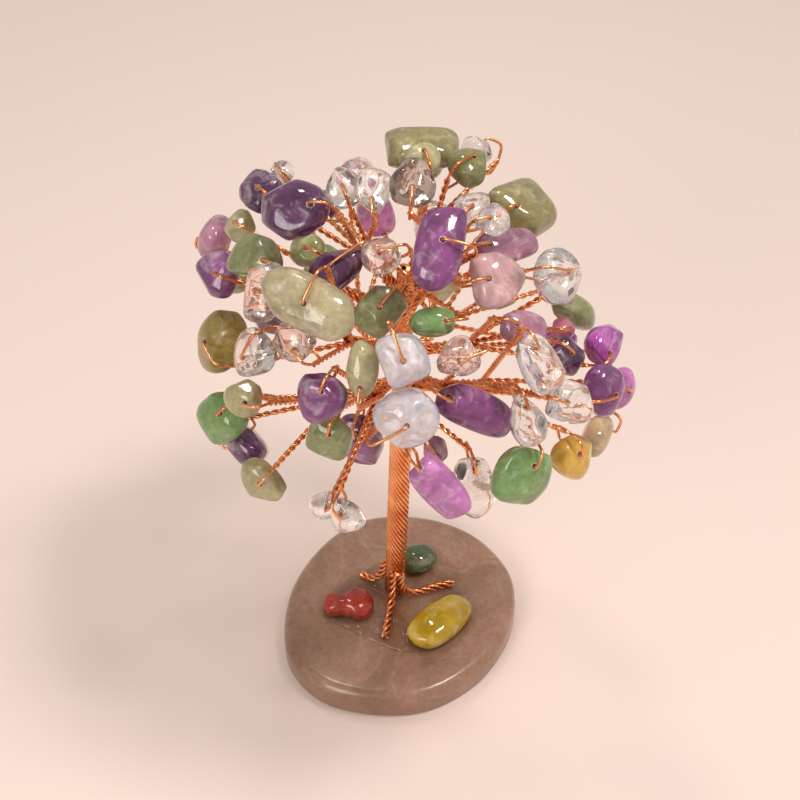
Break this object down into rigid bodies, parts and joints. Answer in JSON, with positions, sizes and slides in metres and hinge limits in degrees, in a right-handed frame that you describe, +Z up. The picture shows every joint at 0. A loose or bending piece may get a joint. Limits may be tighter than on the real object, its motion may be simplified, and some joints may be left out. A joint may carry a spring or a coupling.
{
  "type": "gemstone tree ornament",
  "caption": "Small free-standing tree of twisted copper wire with drilled polished gem chips on its twigs, glued to a polished stone slab; limbs bend and drop chips swing.",
  "frame": {"origin": "middle of the slab's flat bottom face", "axes": "+Z up along the trunk, -Y towards the viewer of the picture, +X to the viewer's right"},
  "size_m": [0.0743, 0.0707, 0.1148],
  "materials": {
    "slab_stone": "polished",
    "copper_wire": "bright copper",
    "clear_glue": "clear gloss",
    "amethyst": "polished",
    "clear_quartz": "polished",
    "opalite": "polished",
    "citrine": "polished",
    "carnelian": "polished",
    "green_aventurine": "polished"
  },
  "bodies": {
    "base": {"aventurine_stone": "green_aventurine", "base_slab": "slab_stone", "carnelian_stone": "carnelian", "citrine_stone": "citrine", "front_right_amethyst_chips": "amethyst", "front_right_limb_wires": "copper_wire", "front_right_quartz_chips": "clear_quartz", "front_top_amethyst_chips": "amethyst", "front_top_green_chips": "green_aventurine", "front_top_limb_wires": "copper_wire", "front_top_quartz_chips": "clear_quartz", "glue_pool": "clear_glue", "high_left_amethyst_chips": "amethyst", "high_left_limb_wires": "copper_wire", "high_left_quartz_chips": "clear_quartz", "left_upper_amethyst_chips": "amethyst", "left_upper_green_chips": "green_aventurine", "left_upper_limb_wires": "copper_wire", "right_middle_amethyst_chips": "amethyst", "right_middle_green_chips": "green_aventurine", "right_middle_limb_wires": "copper_wire", "right_upper_amethyst_chips": "amethyst", "right_upper_green_chips": "green_aventurine", "right_upper_limb_wires": "copper_wire", "right_upper_quartz_chips": "clear_quartz", "root_strands": "copper_wire", "trunk_bundle": "copper_wire"},
    "crown_top_limb": {"crown_top_green_chips": "green_aventurine", "crown_top_limb_wires": "copper_wire", "crown_top_quartz_chips": "clear_quartz"},
    "left_middle_limb": {"left_middle_green_chips": "green_aventurine", "left_middle_limb_wires": "copper_wire", "left_middle_quartz_chips": "clear_quartz"},
    "left_lower_limb": {"left_lower_amethyst_chips": "amethyst", "left_lower_green_chips": "green_aventurine", "left_lower_limb_wires": "copper_wire"},
    "front_left_limb": {"front_left_amethyst_chips": "amethyst", "front_left_green_chips": "green_aventurine", "front_left_limb_wires": "copper_wire"},
    "front_limb": {"front_limb_wires": "copper_wire", "front_opalite_chips": "opalite"},
    "right_lower_limb": {"right_lower_amethyst_chips": "amethyst", "right_lower_limb_wires": "copper_wire", "right_lower_quartz_chips": "clear_quartz"},
    "back_left_limb": {"back_left_amethyst_chips": "amethyst", "back_left_green_chips": "green_aventurine", "back_left_limb_wires": "copper_wire", "back_left_quartz_chips": "clear_quartz"},
    "back_right_limb": {"back_right_amethyst_chips": "amethyst", "back_right_green_chips": "green_aventurine", "back_right_limb_wires": "copper_wire", "back_right_quartz_chips": "clear_quartz"},
    "left_lower_green_drop": {"left_lower_green_drop": "green_aventurine"},
    "front_left_quartz_drop_rear": {"front_left_quartz_drop_rear": "clear_quartz"},
    "front_left_quartz_drop_fore": {"front_left_quartz_drop_fore": "clear_quartz"},
    "front_amethyst_drop": {"front_amethyst_drop": "amethyst"},
    "front_quartz_drop": {"front_quartz_drop": "clear_quartz"},
    "front_right_green_drop": {"front_right_green_drop": "green_aventurine"},
    "front_right_citrine_drop": {"front_right_citrine_drop": "citrine"},
    "right_lower_green_drop": {"right_lower_green_drop": "green_aventurine"}
  },
  "joints": [
    {"name": "crown_top_bend", "type": "hinge", "parent": "base", "child": "crown_top_limb", "pos_m": [0.00229, 0.0053, 0.091], "axis": [0.7082, -0.706, 0], "range_deg": [-12, 8]},
    {"name": "left_middle_bend", "type": "hinge", "parent": "base", "child": "left_middle_limb", "pos_m": [-0.00192, 0.00158, 0.075], "axis": [-0.6216, 0.7834, 0], "range_deg": [-5, 1]},
    {"name": "left_lower_bend", "type": "hinge", "parent": "base", "child": "left_lower_limb", "pos_m": [-0.00216, 0.00144, 0.067], "axis": [-0.6127, 0.7903, 0], "range_deg": [-25, 3]},
    {"name": "front_left_bend", "type": "hinge", "parent": "base", "child": "front_left_limb", "pos_m": [-0.00063, 0.00046, 0.0705], "axis": [-0.9373, 0.3486, 0], "range_deg": [-10, 6]},
    {"name": "front_bend", "type": "hinge", "parent": "base", "child": "front_limb", "pos_m": [0.0006, 0.0001, 0.066], "axis": [-0.9996, -0.0294, 0], "range_deg": [-25, 1]},
    {"name": "right_lower_bend", "type": "hinge", "parent": "base", "child": "right_lower_limb", "pos_m": [0.00342, 0.00175, 0.066], "axis": [-0.5139, -0.8579, 0], "range_deg": [-5, 0]},
    {"name": "back_left_bend", "type": "hinge", "parent": "base", "child": "back_left_limb", "pos_m": [-0.00151, 0.0062, 0.067], "axis": [0.8014, 0.5981, 0], "range_deg": [-25, 5]},
    {"name": "back_right_bend", "type": "hinge", "parent": "base", "child": "back_right_limb", "pos_m": [0.00206, 0.00646, 0.0675], "axis": [0.8847, -0.4662, 0], "range_deg": [-25, 12]},
    {"name": "left_lower_green_drop_swing", "type": "hinge", "parent": "left_lower_limb", "child": "left_lower_green_drop", "pos_m": [-0.02167, -0.02046, 0.0682], "axis": [-0.4852, -0.8678, 0.1071], "range_deg": [-20, 1]},
    {"name": "front_left_quartz_drop_rear_swing", "type": "hinge", "parent": "front_left_limb", "child": "front_left_quartz_drop_rear", "pos_m": [-0.01145, -0.02349, 0.06574], "axis": [-0.2781, -0.9594, 0.047], "range_deg": [-20, 20]},
    {"name": "front_left_quartz_drop_fore_swing", "type": "hinge", "parent": "front_left_limb", "child": "front_left_quartz_drop_fore", "pos_m": [-0.00903, -0.02876, 0.07025], "axis": [-0.1755, -0.9735, 0.1464], "range_deg": [-20, 20]},
    {"name": "front_amethyst_drop_swing", "type": "hinge", "parent": "front_limb", "child": "front_amethyst_drop", "pos_m": [0.00276, -0.02872, 0.08158], "axis": [0.1051, -0.9546, 0.2788], "range_deg": [-20, 12]},
    {"name": "front_quartz_drop_swing", "type": "hinge", "parent": "front_limb", "child": "front_quartz_drop", "pos_m": [0.01144, -0.02228, 0.0734], "axis": [0.2671, -0.958, 0.1041], "range_deg": [-20, 20]},
    {"name": "front_right_green_drop_swing", "type": "hinge", "parent": "base", "child": "front_right_green_drop", "pos_m": [0.02, -0.02537, 0.07845], "axis": [0.3488, -0.8973, 0.2707], "range_deg": [-20, 14]},
    {"name": "front_right_citrine_drop_swing", "type": "hinge", "parent": "base", "child": "front_right_citrine_drop", "pos_m": [0.02764, -0.01714, 0.07172], "axis": [0.5719, -0.8025, 0.1701], "range_deg": [-20, 10]},
    {"name": "right_lower_green_drop_swing", "type": "hinge", "parent": "right_lower_limb", "child": "right_lower_green_drop", "pos_m": [0.03394, -0.00611, 0.06495], "axis": [0.8678, -0.3115, -0.3871], "range_deg": [-20, 20]}
  ]
}
